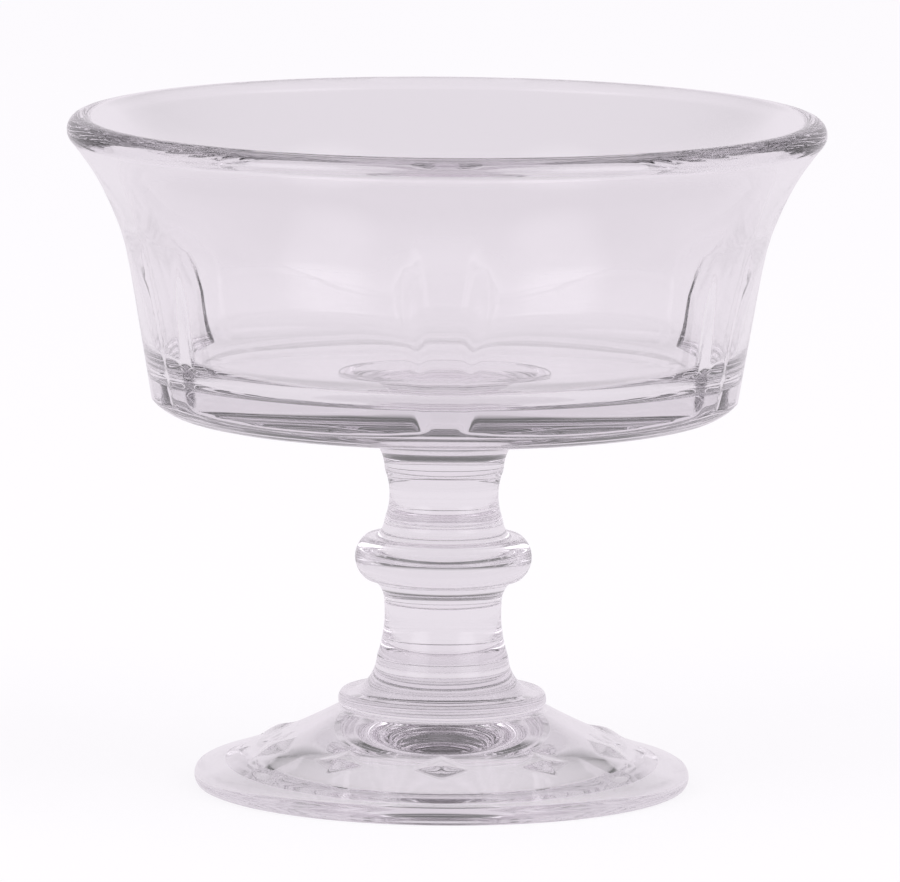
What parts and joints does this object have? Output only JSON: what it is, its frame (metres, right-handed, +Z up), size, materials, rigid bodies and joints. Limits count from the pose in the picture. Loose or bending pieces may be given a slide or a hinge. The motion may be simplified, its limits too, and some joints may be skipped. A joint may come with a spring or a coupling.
{
  "type": "sherbet glass",
  "caption": "Footed clear glass dish for sherbet: a flared bowl with arched side panels, on a short stem with a ring knop and a round sloping foot.",
  "frame": {"origin": "centre of the ring that the foot stands on, on the table surface", "axes": "+Z up along the stem; -Y is the side that faces the camera in the picture"},
  "size_m": [0.1022, 0.1022, 0.0909],
  "materials": {
    "clear_glass": "fire-polished"
  },
  "bodies": {
    "root": {"bowl": "clear_glass", "bowl_merese": "clear_glass", "upper_shank": "clear_glass", "ring_knop": "clear_glass", "lower_shank": "clear_glass", "foot_merese": "clear_glass", "foot": "clear_glass"}
  },
  "joints": []
}
